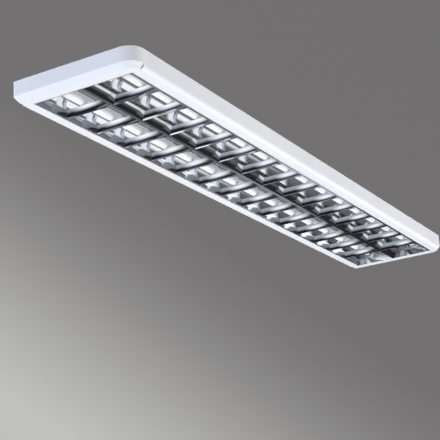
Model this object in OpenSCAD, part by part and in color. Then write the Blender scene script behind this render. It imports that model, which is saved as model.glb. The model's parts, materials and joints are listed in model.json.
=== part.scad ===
// Surface mounted ceiling light with a mirror louvre of two rows of cells.
// X runs along the light, Y across it, and Z up. The origin is the middle of the ceiling face.
// Every module works in heights above the louvre's lower plane and is hung below the ceiling.

/* [Louvre] */
// Length of one louvre cell along the light
cell_l = 78; // [70:0.5:90]
// Number of cells in each row
cells = 15; // [11:1:16]
// Width of one row of cells, from the middle of the spine to the aperture edge
cell_w = 87; // [84:0.5:100]
// Height of the cross blades, spine and side reflectors
blade_h = 12.5; // [11:0.25:13.5]
// Width across the open top of a cross blade
blade_top_w = 10; // [8:0.5:12]
// Width across the closed foot of a cross blade
blade_foot_w = 1; // [0.8:0.1:2]
// Width of the flat foot of the spine
spine_foot_w = 5; // [3:0.5:8]
// Width across the open top of the spine
spine_top_w = 21; // [18:0.5:24]
// How far a side reflector leans inwards at its top
side_lean = 3; // [2:0.25:4]
// Thickness of the mirror sheet
sheet_t = 0.5; // [0.4:0.05:0.8]
// Gap all round between the louvre and the aperture
louvre_gap = 1.2; // [1.2:0.1:2]

/* [Housing] */
// Height from the louvre's lower plane to the ceiling
total_h = 42; // [42:0.5:55]
// Height of the visible side rails and end caps
rail_h = 31.5; // [31:0.25:32]
// How far the side rails stand out beyond the aperture
side_out = 20.8; // [18:0.1:26]
// How far the end caps stand out beyond the aperture, also the radius of their right upright corners
end_out = 24.5; // [22:0.5:30]
// Radius of the sharper upright corners on the left side
left_corner_r = 7.5; // [7:0.5:20]
// Width of the slanted band of an end cap, seen from below
bevel_run = 7; // [5:0.5:9]
// Height of the slanted band of an end cap
bevel_rise = 8.5; // [6:0.5:10]
// Outer radius of the long bend of a side rail
rail_bend_r = 7; // [5:0.5:9]
// Wall of a side rail
rail_t = 1.2; // [1:0.1:1.6]
// Wall of a moulded end cap
cap_t = 2.2; // [1.8:0.1:2.6]
// Sheet of the gear tray and holder plates
tray_t = 0.8; // [0.6:0.1:1]
// How far the raised pan stands in from the side rails
pan_side_inset = 22.8; // [20:0.1:26]
// How far the raised pan stands in from the end caps
pan_end_inset = 23.5; // [22:0.5:28]

/* [Fixing] */
// Distance of each ceiling slot from the end of the raised pan
slot_end_dist = 136; // [120:2:150]
// Width of a ceiling slot
slot_w = 6; // [4.5:0.5:7]
// Length of a ceiling slot from end to end
slot_l = 16; // [12:1:24]
// Distance of the cable entry from the mains terminal block
entry_dist = 95; // [80:5:110]
// Clear bore of the cable grommet
entry_d = 11; // [8:0.5:12]

/* [Lamps] */
// Diameter of the glass tube
lamp_d = 16; // [15:0.5:16.5]
// Distance of a lamp's axis from the middle of the light
lamp_y = 53.5; // [51:0.5:56]
// Room between a lamp and the tops of the blades
lamp_clear = 1.5; // [1.4:0.1:2]
// Distance between the two pins of a lamp cap
pin_pitch = 4.75; // [4.5:0.05:5]
// Diameter of a lamp pin
pin_d = 2.4; // [2.2:0.05:2.6]
// Length of a lamp pin
pin_l = 7.1; // [6:0.1:7.6]
// Radius of a lampholder's rotor
rotor_r = 6; // [5.5:0.1:6.5]

/* [Gear] */
// Length of the ballast
ballast_l = 280; // [200:5:360]
// Width of the ballast
ballast_w = 30; // [24:0.5:32]
// Height of the ballast
ballast_h = 21; // [16:0.5:21]
// Distance of the mains terminal block from the end of the ballast
terminal_dist = 95; // [85:1:110]
// Bore of the fixed hinge eyes of the louvre
hinge_bore = 1.4; // [1.2:0.1:1.5]
// Distance of the outer hinges and catches from the end of the aperture
hinge_end_dist = 155; // [120:5:180]

/* [Hidden] */
$fn = 48;
over = 1;
touch = 0.1;
aperture_l = cell_l * cells;
half_l = aperture_l / 2;
half_w = cell_w + side_out;
body_half_l = half_l + end_out;
flange_z = rail_h - tray_t;
pan_half_l = body_half_l - pan_end_inset;
pan_half_w = half_w - pan_side_inset;
pan_z = total_h - tray_t;

louvre_half_w = cell_w - louvre_gap;
plate_t = 0.5;
louvre_half_l = half_l - louvre_gap + touch;
blade_l = louvre_half_l - plate_t;

// Leans, radii and centres of the curved mirror flanks: one third of each lean is curvature
spine_run = (spine_top_w - spine_foot_w) / 2;
blade_run = (blade_top_w - blade_foot_w) / 2;
spine_turn = 16;
blade_turn = 12;
side_turn = 10;
bead_r = 1.2;
eye_gap = 0.35;
bead_y = louvre_half_w - bead_r;
bead_z = bead_r + eye_gap / 2;
side_foot_y = louvre_half_w - 2 * bead_r - eye_gap - sheet_t;
flange_w = louvre_half_w - side_foot_y;

web_t = 0.6;
web_gap = 0.2;
web_low = blade_h / 2;
web_high = blade_h * 3 / 4;
web_leg_w = 3;

lamp_z = blade_h + lamp_clear + lamp_d / 2;
lamp_end_gap = 10.5;
lamp_l = aperture_l - 2 * lamp_end_gap;
lamp_half_l = lamp_l / 2;
lamp_wall = 0.9;
cap_l = 11;
cap_d = lamp_d + 0.8;
holder_gap = 0.5;
holder_x = lamp_half_l + holder_gap;
holder_l = 13;
holder_r = lamp_d / 2 + 1;
holder_w = 2 * holder_r;
holder_top_z = flange_z - 1.2;
run_fit = 0.06;
rotor_l = 8;
rotor_slot_w = pin_d + 0.2;
back_gap = 0.3;
pin_slot_w = pin_d + 0.6;
plate_x = holder_x + holder_l;
plate_foot_z = cap_t + 0.8;
plate_half_w = cell_w - 3;
foot_l = 8;

trough_rise = 3.5;
trough_foot_z = blade_h + 2.5;
trough_top_z = lamp_z + lamp_d / 2 + trough_rise;
trough_in_y = max(spine_top_w, ballast_w) / 2 + 3;
trough_out_y = cell_w - 3;
trough_half_l = lamp_half_l - 1.5;
trough_wall_half_l = trough_half_l - 20;
trough_flange_w = 8;

rail_in_y = half_w - rail_t;
rail_return_h = 7;
return_back = 2.5;
return_y = cell_w + return_back;
ledge_w = 12;
ledge_z = flange_z - rail_t;
fit_gap = 0.2;

rib_t = 1.5;
rib_h = 6;
cap_ledge_w = 8;
cap_ledge_t = 2;
boss_r = 3.2;
boss_h = 12;
boss_y = cell_w * 2 / 3;
boss_x = body_half_l - cap_t - boss_r + touch;
cap_screw_r = 1.4;
cap_screw_l = 9;
cap_head_r = 3;
cap_head_h = 2;
spigot_l = 12;
spigot_t = 2;
spigot_foot_z = rail_bend_r + 3;
spigot_top_z = ledge_z - 2;

rivet_r = 1.6;
rivet_head_r = 2.6;
rivet_fit = 0.05;
rivet_head_h = 0.9;
rail_rivets_n = 5;
rail_rivet_y = rail_in_y - ledge_w / 2;
rail_rivet_pitch = (aperture_l - 2 * cell_l) / (rail_rivets_n - 1);
rail_rivet_xs = [for (i = [0 : rail_rivets_n - 1]) (i - (rail_rivets_n - 1) / 2) * rail_rivet_pitch];
trough_rivet_xs = [for (i = [1 : rail_rivets_n - 1]) (i - rail_rivets_n / 2) * rail_rivet_pitch];
trough_rivet_y = pan_half_w + trough_flange_w / 2;
plate_screw_x = plate_x + (foot_l + tray_t) / 2;

ballast_foot_l = 9;
ballast_foot_t = 1;
ballast_screw_r = 2;
ballast_screw_head_r = 3.4;
ballast_screw_head_h = 1.8;
ballast_wall = 0.7;
ballast_edge_r = 1.5;
ballast_block_l = 16;
ballast_block_h = 12;
port_r = 1;
ports = 4;
port_pitch = 5;
port_x = (ballast_l - ballast_block_l) / 2;
port_z = pan_z - ballast_h + ballast_block_h * 2 / 3;
supply_port_z = pan_z - ballast_h + ballast_block_h / 3;
function port_y(k) = (k - (ports - 1) / 2) * port_pitch;

term_l = 30;
term_w = 17;
term_h = 15;
term_poles = 3;
term_screw_r = 1.5;
term_slot_w = 0.6;
term_hole_r = 1;
term_well_r = 2;
term_well_h = 4;
term_foot_h = 1.5;
stud_r = 2;
stud_l = 12;
stud_nut_w = 7;
stud_nut_h = 3.2;
stud_washer_r = 4.5;
stud_washer_t = 0.8;
stud_dist = 12;
terminal_x = ballast_l / 2 + terminal_dist;
entry_x = terminal_x + entry_dist;
stud_x = terminal_x - term_l / 2 - stud_dist;
lug_r = 3.8;
lug_t = 1;
term_peg_r = 1.5;

grommet_lip_r = entry_d / 2 + 4.5;
grommet_neck_r = entry_d / 2 + 2.5;
grommet_lip_t = 2;

wire_r = 0.9;
wire_fit = 0.1;
wire_gap = 0.4;
lead_in = 3;
wire_pitch = 2 * wire_r + wire_gap;
wire_z = pan_z - wire_r - 0.2;
clip_t = 0.6;
clip_l = 8;
clips_per_side = 2;
lead_turn_x = [holder_x + holder_l / 2 - wire_pitch, holder_x + holder_l / 2];
lead_end_y = [lamp_y - wire_pitch * 3, lamp_y + wire_pitch * 3];
ballast_screw_x = (ballast_l + ballast_foot_l) / 2;
term_peg_x = term_l / 3;

hinge_l = 11;
hinge_side_gap = 0.5;
hinge_pin_l = 40;
hinge_pin_r = hinge_bore / 2 - 0.05;
bead_bore_r = hinge_pin_r + 0.02;
bracket_t = 0.8;
catch_w = 14;
catch_t = 0.5;
catch_rise = 1.2;
catch_gap = 0.8;
tongue_w = 12;
tongue_h = rail_return_h + 3.5;
tongue_y = louvre_half_w - 1.4;
catch_nose_y = tongue_y + catch_gap;
hinge_x = half_l - hinge_end_dist;
hinge_xs = [-hinge_x, 0, hinge_x];

mirror_light = "#C9CED6";
mirror_dark = "#B4BAC4";
white_paint = "#F2F3F7";
white_plastic = "#ECEEF6";
tray_white = "#E4E6EA";
glass_white = "#F7F7F2";
steel_grey = "#A8ACB2";
brass_gold = "#C8A85A";
wire_white = "#DADADA";

blade_names = [for (i = [1 : cells - 1]) str("cross_blade_", i < 10 ? "0" : "", i)];

// Moves a piece from heights above the louvre's lower plane to depths below the ceiling
module hung()
    translate([0, 0, -total_h])
        children();

// Repeats a piece at both signs of Y by mirroring it
module both_sides() {
    children();
    mirror([0, 1, 0])
        children();
}

// Repeats a piece at both ends of the light by mirroring it
module both_ends() {
    children();
    mirror([1, 0, 0])
        children();
}

// Extrudes a section drawn in Y and Z along X, centred on the origin
module along_x(length)
    rotate([90, 0, 90])
        linear_extrude(length, center = true)
            children();

// Extrudes a section drawn in X and Z along Y, centred on the origin
module along_y(length)
    rotate([90, 0, 0])
        linear_extrude(length, center = true)
            children();

// A flat rectangle with round corners, centred on the origin
module round_rect(length, width, r) {
    square([length - 2 * r, width], center = true);
    square([length, width - 2 * r], center = true);
    for (sx = [-1, 1], sy = [-1, 1])
        translate([sx * (length / 2 - r), sy * (width / 2 - r)])
            circle(r);
}

// A box given by its lowest corner and its highest corner
module block(low, high)
    translate(low)
        cube(high - low);

function flank_r(run, turn) = norm([run, blade_h]) / (2 * sin(turn));
function flank_lean(run, turn) = atan(run / blade_h) - turn;
function flank_centre(foot, run, turn) =
    [foot + flank_r(run, turn) * cos(flank_lean(run, turn)),
     -flank_r(run, turn) * sin(flank_lean(run, turn))];

// One curved flank of mirror sheet that rises from its foot and leans towards +X of the section
module flank(foot, run, turn) {
    intersection() {
        translate(flank_centre(foot, run, turn))
            difference() {
                circle(flank_r(run, turn) + sheet_t, $fn = 180);
                circle(flank_r(run, turn), $fn = 180);
            }
        translate([foot - 2 * sheet_t, 0])
            square([run + 4 * sheet_t, blade_h]);
    }
}

// The area behind a flank, on the side away from the cell, with a joint gap
module behind_flank(foot, run, turn)
    difference() {
        translate([foot - run - over, -over])
            square([2 * run + 2 * over, blade_h + 2 * over]);
        translate(flank_centre(foot, run, turn))
            circle(flank_r(run, turn) - touch, $fn = 180);
    }

// Outline of one half of a blade, from the spine to a side reflector, in Y and Z
module blade_outline()
    difference() {
        square([side_foot_y, blade_h]);
        behind_flank(spine_foot_w / 2, spine_run, spine_turn);
        translate([2 * side_foot_y, 0])
            mirror([1, 0])
                behind_flank(side_foot_y, side_lean, side_turn);
    }

module blade_section() {
    flank(blade_foot_w / 2, blade_run, blade_turn);
    mirror([1, 0])
        flank(blade_foot_w / 2, blade_run, blade_turn);
    square([blade_foot_w, sheet_t * 2], center = true);
}

// Strip inside a blade that passes through the slots of the spine and joins its two halves
module blade_web() {
    leg_y = spine_top_w / 2 + web_gap;
    along_x(web_t) {
        translate([-leg_y - web_leg_w, web_low])
            square([2 * (leg_y + web_leg_w), web_high - web_low]);
        for (s = [-1, 1])
            translate([s * (leg_y + web_leg_w / 2) - web_leg_w / 2, sheet_t / 2])
                square([web_leg_w, web_high - sheet_t / 2]);
    }
}

module cross_blade(i)
    color(mirror_light)
        hung()
            translate([i * cell_l - half_l, 0, 0]) {
                blade_web();
                both_sides()
                    intersection() {
                        along_y(4 * cell_w)
                            intersection() {
                                blade_section();
                                translate([-blade_top_w, 0])
                                    square([2 * blade_top_w, blade_h]);
                            }
                        along_x(2 * blade_top_w)
                            blade_outline();
                    }
            }

module spine_reflector()
    color(mirror_light)
        hung()
            difference() {
                along_x(2 * blade_l) {
                    flank(spine_foot_w / 2, spine_run, spine_turn);
                    mirror([1, 0])
                        flank(spine_foot_w / 2, spine_run, spine_turn);
                    translate([-spine_foot_w / 2, 0])
                        square([spine_foot_w, sheet_t]);
                }
                for (i = [1 : cells - 1])
                    translate([i * cell_l - half_l, 0, web_low - web_gap + blade_h / 2])
                        cube([web_t + 2 * web_gap, spine_top_w + over, blade_h], center = true);
            }

// The curved wall of a side reflector at +Y, leaning inwards, with the flange at its foot
module side_wall() {
    translate([2 * side_foot_y, 0])
        mirror([1, 0])
            flank(side_foot_y, side_lean, side_turn);
    translate([side_foot_y + sheet_t / 2, 0])
        square([flange_w - bead_r - sheet_t / 2, sheet_t]);
}

module side_reflector_left()
    color(mirror_dark)
        hung()
            difference() {
                union() {
                    along_x(2 * blade_l)
                        side_wall();
                    translate([0, bead_y, bead_z])
                        rotate([0, 90, 0])
                            cylinder(h = 2 * blade_l, r = bead_r, center = true);
                }
                translate([0, bead_y, bead_z])
                    rotate([0, 90, 0])
                        cylinder(h = 2 * blade_l + 2 * over, r = bead_bore_r, center = true);
                for (x = hinge_xs)
                    translate([x, side_foot_y + sheet_t + 2 * bead_r, bead_z])
                        cube([hinge_l + 2 * hinge_side_gap, 4 * bead_r, 4 * bead_r], center = true);
            }

module side_reflector_right()
    color(mirror_dark)
        hung()
            mirror([0, 1, 0])
                along_x(2 * blade_l) {
                    side_wall();
                    translate([side_foot_y + sheet_t / 2, 0])
                        square([flange_w - sheet_t / 2, sheet_t]);
                }

module louvre_end_plate()
    hung()
        translate([blade_l + plate_t / 2, 0, 0])
            along_x(plate_t)
                translate([-louvre_half_w + touch, 0])
                    square([2 * (louvre_half_w - touch), blade_h]);

module louvre_end_plate_far()
    color(mirror_light)
        louvre_end_plate();

module louvre_end_plate_near()
    color(mirror_light)
        mirror([1, 0, 0])
            louvre_end_plate();

module hinge_pins()
    color(steel_grey)
        hung()
            for (x = hinge_xs)
                translate([x, bead_y, bead_z])
                    rotate([0, 90, 0])
                        cylinder(h = hinge_pin_l, r = hinge_pin_r, center = true);

module hinge_brackets()
    color(white_paint)
        hung()
            for (x = hinge_xs)
                translate([x, 0, 0])
                    along_x(hinge_l)
                        difference() {
                            union() {
                                translate([bead_y, bead_z])
                                    circle(bead_r);
                                translate([bead_y, bead_z + bead_r - bracket_t])
                                    square([return_y - bead_y, bracket_t]);
                                translate([return_y - bracket_t, bead_z + bead_r - bracket_t])
                                    square([bracket_t, rail_return_h - bead_z - bead_r + bracket_t]);
                            }
                            translate([bead_y, bead_z])
                                circle(hinge_bore / 2);
                        }

// Strips folded up from the louvre's right flange, which the spring catches press on
module catch_tongues()
    color(mirror_dark)
        hung()
            mirror([0, 1, 0])
                for (x = hinge_xs)
                    translate([x, 0, 0])
                        along_x(tongue_w)
                            translate([tongue_y - catch_t, sheet_t])
                                square([catch_t, tongue_h - sheet_t]);

// Spring strips on the right rail that curl over its lip and press on the tongues
module louvre_catches()
    color(steel_grey)
        hung()
            mirror([0, 1, 0])
                for (x = hinge_xs)
                    translate([x, 0, 0])
                        along_x(catch_w) {
                            translate([return_y + rail_t, rail_return_h - rail_t * 3])
                                square([catch_t, rail_t * 3 + catch_t]);
                            translate([catch_nose_y, rail_return_h])
                                square([return_y + rail_t - catch_nose_y, catch_t]);
                            translate([catch_nose_y, rail_return_h])
                                square([catch_t, catch_rise + catch_t]);
                        }

// Section of the left rail in Y and Z: wall, round bend, lip, return and ledge
module rail_section() {
    bend_y = half_w - rail_bend_r;
    translate([rail_in_y, rail_bend_r])
        square([rail_t, rail_h - rail_bend_r]);
    intersection() {
        translate([bend_y, rail_bend_r])
            difference() {
                circle(rail_bend_r, $fn = 96);
                circle(rail_bend_r - rail_t, $fn = 96);
            }
        translate([bend_y, 0])
            square([rail_bend_r, rail_bend_r]);
    }
    translate([cell_w, 0])
        square([bend_y - cell_w, rail_t]);
    translate([return_y, 0])
        square([rail_t, rail_return_h]);
    translate([rail_in_y - ledge_w, ledge_z])
        square([ledge_w + rail_t / 2, rail_t]);
}

module side_rail()
    hung()
        difference() {
            along_x(aperture_l)
                rail_section();
            for (x = rail_rivet_xs)
                translate([x, rail_rivet_y, ledge_z])
                    cylinder(h = 4 * rail_t, r = rivet_r, center = true);
        }

module side_rail_left()
    color(white_paint)
        side_rail();

module side_rail_right()
    color(white_paint)
        mirror([0, 1, 0])
            side_rail();

// Section of an end cap, from its lip edge outwards, in distance and height
module cap_section() {
    slant = atan(bevel_rise / bevel_run);
    lip_in = end_out - bevel_run - cap_t * tan(slant / 2);
    wall_in = bevel_rise + cap_t * tan((90 - slant) / 2);
    in = end_out - cap_t;
    polygon([[0, 0], [end_out - bevel_run, 0], [end_out, bevel_rise], [end_out, rail_h],
             [in, rail_h], [in, flange_z], [in - cap_ledge_w, flange_z],
             [in - cap_ledge_w, flange_z - cap_ledge_t], [in, flange_z - cap_ledge_t],
             [in, wall_in], [lip_in, cap_t], [0, cap_t]]);
}

// One end cap: a straight band, the wide right corner, then the sharper left corner and its side
module end_cap() {
    corner_y = half_w - end_out;
    left_in = end_out - left_corner_r;
    left_y = corner_y + left_in;
    difference() {
        union() {
            translate([half_l, (left_y - corner_y) / 2, 0])
                along_y(left_y + corner_y)
                    cap_section();
            mirror([0, 1, 0])
                translate([half_l, corner_y, 0])
                    rotate_extrude(angle = 90, $fn = 96)
                        cap_section();
            translate([half_l + left_in / 2, corner_y, 0])
                along_x(left_in)
                    cap_section();
            translate([half_l + left_in, left_y, 0])
                rotate_extrude(angle = 90, $fn = 96)
                    intersection() {
                        translate([-left_in, 0])
                            cap_section();
                        square([left_corner_r, rail_h]);
                    }
            block([half_l, -cell_w, 0], [half_l + rib_t, cell_w, rib_h]);
            both_sides()
                translate([boss_x, boss_y, flange_z - boss_h])
                    cylinder(h = boss_h, r = boss_r);
            both_sides()
                block([half_l - spigot_l, rail_in_y - fit_gap - spigot_t, spigot_foot_z],
                      [half_l + spigot_t, rail_in_y - fit_gap, spigot_top_z]);
        }
        both_sides()
            translate([boss_x, boss_y, flange_z - cap_screw_l])
                cylinder(h = cap_screw_l + over, r = cap_screw_r);
    }
}

module end_cap_far()
    color(white_plastic)
        hung()
            end_cap();

module end_cap_near()
    color(white_plastic)
        hung()
            mirror([1, 0, 0])
                end_cap();

module end_cap_screws()
    color(steel_grey)
        hung()
            both_ends()
                both_sides()
                    translate([boss_x, boss_y, 0]) {
                        translate([0, 0, flange_z - cap_screw_l + fit_gap])
                            cylinder(h = cap_screw_l - fit_gap + tray_t, r = cap_screw_r - rivet_fit);
                        translate([0, 0, rail_h])
                            difference() {
                                cylinder(h = cap_head_h, r = cap_head_r);
                                translate([0, 0, cap_head_h])
                                    cube([cap_head_r * 1.3, tray_t, cap_head_h], center = true);
                                translate([0, 0, cap_head_h])
                                    cube([tray_t, cap_head_r * 1.3, cap_head_h], center = true);
                            }
                    }

module rivet(low, high)
    difference() {
        union() {
            translate([0, 0, low - rivet_head_h])
                cylinder(h = rivet_head_h, r = rivet_head_r);
            translate([0, 0, low - rivet_head_h / 2])
                cylinder(h = high - low + rivet_head_h, r = rivet_r - rivet_fit);
            translate([0, 0, high])
                cylinder(h = rivet_head_h, r = rivet_head_r);
        }
        translate([0, 0, high])
            cylinder(h = rivet_head_h + over, r = rivet_r / 2);
    }

module rail_rivets()
    color(steel_grey)
        hung()
            both_sides()
                for (x = rail_rivet_xs)
                    translate([x, rail_rivet_y, 0])
                        rivet(ledge_z, rail_h);

module ceiling_slot()
    for (s = [-1, 1])
        translate([s * (slot_l - slot_w) / 2, 0, 0])
            cylinder(h = 4 * tray_t, r = slot_w / 2, center = true);

module gear_tray() {
    corner_r = end_out - cap_t - fit_gap;
    flange_half_l = half_l + corner_r;
    flange_half_w = half_w - cap_t - fit_gap;
    color(tray_white)
        hung()
            difference() {
                union() {
                    translate([0, 0, flange_z])
                        linear_extrude(tray_t) {
                            round_rect(2 * flange_half_l, 2 * flange_half_w, corner_r);
                            translate([0, flange_half_w / 2])
                                round_rect(2 * flange_half_l, flange_half_w, left_corner_r - cap_t - fit_gap);
                            square([2 * (half_l - fit_gap), 2 * (rail_in_y - fit_gap)], center = true);
                        }
                    translate([0, 0, flange_z])
                        linear_extrude(total_h - flange_z)
                            round_rect(2 * pan_half_l, 2 * pan_half_w, 3 * tray_t);
                }
                translate([0, 0, flange_z - over])
                    linear_extrude(pan_z - flange_z + over)
                        round_rect(2 * (pan_half_l - tray_t), 2 * (pan_half_w - tray_t), 2 * tray_t);
                for (s = [-1, 1])
                    translate([s * (pan_half_l - slot_end_dist), 0, pan_z]) {
                        ceiling_slot();
                        cube([slot_l - slot_w, slot_w, 4 * tray_t], center = true);
                    }
                translate([-entry_x, 0, pan_z])
                    cylinder(h = 4 * tray_t, r = grommet_neck_r + rivet_fit, center = true);
                both_ends()
                    both_sides() {
                        translate([boss_x, boss_y, rail_h])
                            cylinder(h = 4 * tray_t, r = cap_screw_r, center = true);
                        translate([plate_screw_x, lamp_y, rail_h])
                            cylinder(h = 4 * tray_t, r = rivet_r, center = true);
                    }
                both_sides() {
                    for (x = rail_rivet_xs)
                        translate([x, rail_rivet_y, rail_h])
                            cylinder(h = 4 * tray_t, r = rivet_r, center = true);
                    for (x = trough_rivet_xs)
                        translate([x, trough_rivet_y, rail_h])
                            cylinder(h = 4 * tray_t, r = rivet_r, center = true);
                }
                for (s = [-1, 1]) {
                    translate([s * ballast_screw_x, 0, total_h])
                        cylinder(h = 4 * tray_t, r = ballast_screw_r, center = true);
                    translate([s * term_peg_x - terminal_x, 0, total_h])
                        cylinder(h = 4 * tray_t, r = term_peg_r + rivet_fit, center = true);
                }
            }
}

module cable_grommet()
    color("#3A3C40")
        hung()
            translate([-entry_x, 0, 0])
                difference() {
                    union() {
                        translate([0, 0, pan_z - grommet_lip_t])
                            cylinder(h = grommet_lip_t, r = grommet_lip_r);
                        translate([0, 0, pan_z - over / 2])
                            cylinder(h = tray_t + over / 2, r = grommet_neck_r);
                    }
                    translate([0, 0, pan_z - grommet_lip_t - over])
                        cylinder(h = grommet_lip_t + tray_t + 2 * over, r = entry_d / 2);
                }

// Vertical plate behind the two lampholders of one end, with a foot under the gear tray
module holder_plate()
    difference() {
        union() {
            block([plate_x, -plate_half_w, plate_foot_z], [plate_x + tray_t, plate_half_w, flange_z]);
            block([plate_x, -plate_half_w, flange_z - tray_t], [plate_x + foot_l, plate_half_w, flange_z]);
        }
        both_sides() {
            for (k = [2, 3])
                translate([plate_x, lamp_y - k * holder_r * 0.9, lamp_z])
                    cube([4 * tray_t, holder_r / 4, holder_r * 0.9], center = true);
            translate([plate_screw_x, lamp_y, flange_z])
                cylinder(h = 4 * tray_t, r = rivet_r, center = true);
        }
    }

module holder_plate_far()
    color(tray_white)
        hung()
            holder_plate();

module holder_plate_near()
    color(tray_white)
        hung()
            mirror([1, 0, 0])
                holder_plate();

module plate_screws()
    color(steel_grey)
        hung()
            both_ends()
                both_sides()
                    translate([plate_screw_x, lamp_y, 0])
                        rivet(flange_z - tray_t, rail_h);

// A lampholder with its face at holder_x: round foot, flat top, slot for the pins and bore for the rotor
module lampholder()
    translate([holder_x, lamp_y, 0])
        difference() {
            translate([holder_l / 2, 0, 0])
                along_x(holder_l)
                    intersection() {
                        union() {
                            translate([0, lamp_z])
                                circle(holder_r);
                            translate([-holder_r, lamp_z])
                                square([holder_w, holder_r]);
                        }
                        translate([-holder_r, 0])
                            square([holder_w, holder_top_z]);
                    }
            translate([-over, 0, lamp_z])
                rotate([0, 90, 0])
                    cylinder(h = rotor_l + back_gap + over, r = rotor_r + run_fit);
            block([-over, -pin_slot_w / 2, lamp_z - holder_r - over], [rotor_l + back_gap, pin_slot_w / 2, lamp_z]);
            for (s = [0, 1])
                translate([lead_turn_x[s] - holder_x, lead_end_y[s] - lamp_y, holder_top_z - lead_in])
                    cylinder(h = lead_in + over, r = wire_r + wire_fit);
        }

module lampholder_left_far()
    color(white_plastic)
        hung()
            lampholder();

module lampholder_left_near()
    color(white_plastic)
        hung()
            mirror([1, 0, 0])
                lampholder();

module lampholder_right_far()
    color(white_plastic)
        hung()
            mirror([0, 1, 0])
                lampholder();

module lampholder_right_near()
    color(white_plastic)
        hung()
            mirror([0, 1, 0])
                mirror([1, 0, 0])
                    lampholder();

// The pins stand side by side in the slot of the rotor when the lamp is locked
module rotors()
    hung()
        both_ends()
            translate([holder_x, lamp_y, lamp_z])
                difference() {
                    rotate([0, 90, 0])
                        cylinder(h = rotor_l, r = rotor_r);
                    translate([-over, -rotor_r - over, -rotor_slot_w / 2])
                        cube([pin_l + over, 2 * rotor_r + 2 * over, rotor_slot_w]);
                }

module lamp_tube()
    hung()
        translate([0, lamp_y, lamp_z])
            rotate([0, 90, 0])
                difference() {
                    cylinder(h = lamp_l - cap_l, r = lamp_d / 2, center = true);
                    cylinder(h = lamp_l - cap_l - 2 * lamp_wall, r = lamp_d / 2 - lamp_wall, center = true);
                }

module lamp_caps()
    hung()
        both_ends()
            translate([lamp_half_l - cap_l, lamp_y, lamp_z])
                rotate([0, 90, 0])
                    difference() {
                        cylinder(h = cap_l, r = cap_d / 2);
                        translate([0, 0, -over])
                            cylinder(h = cap_l / 2 + over, r = lamp_d / 2 + touch / 4);
                    }

module lamp_pins()
    hung()
        both_ends()
            for (s = [-1, 1])
                translate([lamp_half_l, lamp_y + s * pin_pitch / 2, lamp_z])
                    rotate([0, 90, 0])
                        cylinder(h = pin_l, r = pin_d / 2);

module rotors_left()
    color(white_plastic)
        rotors();

module rotors_right()
    color(white_plastic)
        mirror([0, 1, 0])
            rotors();

module lamp_tube_left()
    color(glass_white)
        lamp_tube();

module lamp_tube_right()
    color(glass_white)
        mirror([0, 1, 0])
            lamp_tube();

module lamp_caps_left()
    color(steel_grey)
        lamp_caps();

module lamp_caps_right()
    color(steel_grey)
        mirror([0, 1, 0])
            lamp_caps();

module lamp_pins_left()
    color(brass_gold)
        lamp_pins();

module lamp_pins_right()
    color(brass_gold)
        mirror([0, 1, 0])
            lamp_pins();

// Mirror trough over one lamp with its walls and flanges, in Y and Z
module trough_arc() {
    rise = trough_top_z - trough_foot_z;
    span = trough_out_y - trough_in_y;
    r = (span * span / 4 + rise * rise) / (2 * rise);
    intersection() {
        translate([(trough_in_y + trough_out_y) / 2, trough_top_z - r])
            difference() {
                circle(r + sheet_t, $fn = 180);
                circle(r, $fn = 180);
            }
        translate([trough_in_y - sheet_t, trough_foot_z])
            square([span + 2 * sheet_t, rise + 2 * sheet_t]);
    }
    translate([trough_out_y, trough_foot_z])
        square([sheet_t, flange_z - trough_foot_z]);
    translate([trough_out_y, flange_z - sheet_t])
        square([trough_flange_w + sheet_t, sheet_t]);
}

module trough_wall() {
    translate([trough_in_y - sheet_t, trough_foot_z])
        square([sheet_t, pan_z - trough_foot_z]);
    translate([trough_in_y - sheet_t, pan_z - sheet_t])
        square([trough_flange_w, sheet_t]);
}

module lamp_reflector()
    hung() {
        difference() {
            along_x(2 * trough_half_l)
                trough_arc();
            for (x = trough_rivet_xs)
                translate([x, trough_rivet_y, flange_z])
                    cylinder(h = 4 * sheet_t, r = rivet_r, center = true);
        }
        along_x(2 * trough_wall_half_l)
            trough_wall();
    }

module lamp_reflector_left()
    color(mirror_dark)
        lamp_reflector();

module lamp_reflector_right()
    color(mirror_dark)
        mirror([0, 1, 0])
            lamp_reflector();

module reflector_rivets()
    color(steel_grey)
        hung()
            both_sides()
                for (x = trough_rivet_xs)
                    translate([x, trough_rivet_y, 0])
                        rivet(flange_z - sheet_t, rail_h);

module ballast_case() {
    half = ballast_l / 2;
    low = pan_z - ballast_h;
    color("#D8DADD")
        hung()
            difference() {
                union() {
                    along_x(ballast_l)
                        translate([0, low + ballast_h / 2])
                            round_rect(ballast_w, ballast_h, ballast_edge_r);
                    block([-half - ballast_foot_l, -ballast_w / 2, pan_z - ballast_foot_t],
                          [half + ballast_foot_l, ballast_w / 2, pan_z]);
                }
                both_ends()
                    block([half - ballast_block_l, -ballast_w / 2 + ballast_wall * 3, low - over],
                          [half + over, ballast_w / 2 - ballast_wall * 3, low + ballast_block_h]);
                both_ends()
                    translate([ballast_screw_x, 0, pan_z])
                        cylinder(h = 4 * ballast_foot_t, r = ballast_screw_r, center = true);
            }
}

module ballast_terminals() {
    half = ballast_l / 2;
    low = pan_z - ballast_h;
    color("#F0F0F0")
        hung()
            both_ends()
                difference() {
                    block([half - ballast_block_l + touch, -ballast_w / 2 + ballast_wall * 3 + touch, low],
                          [half - touch, ballast_w / 2 - ballast_wall * 3 - touch, low + ballast_block_h - touch]);
                    for (k = [0 : ports - 1])
                        translate([port_x, port_y(k), port_z])
                            rotate([0, 90, 0])
                                cylinder(h = ballast_block_l, r = port_r);
                    for (s = [-1, 1])
                        translate([port_x, s * port_pitch, supply_port_z])
                            rotate([0, 90, 0])
                                cylinder(h = ballast_block_l, r = port_r);
                }
}

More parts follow.
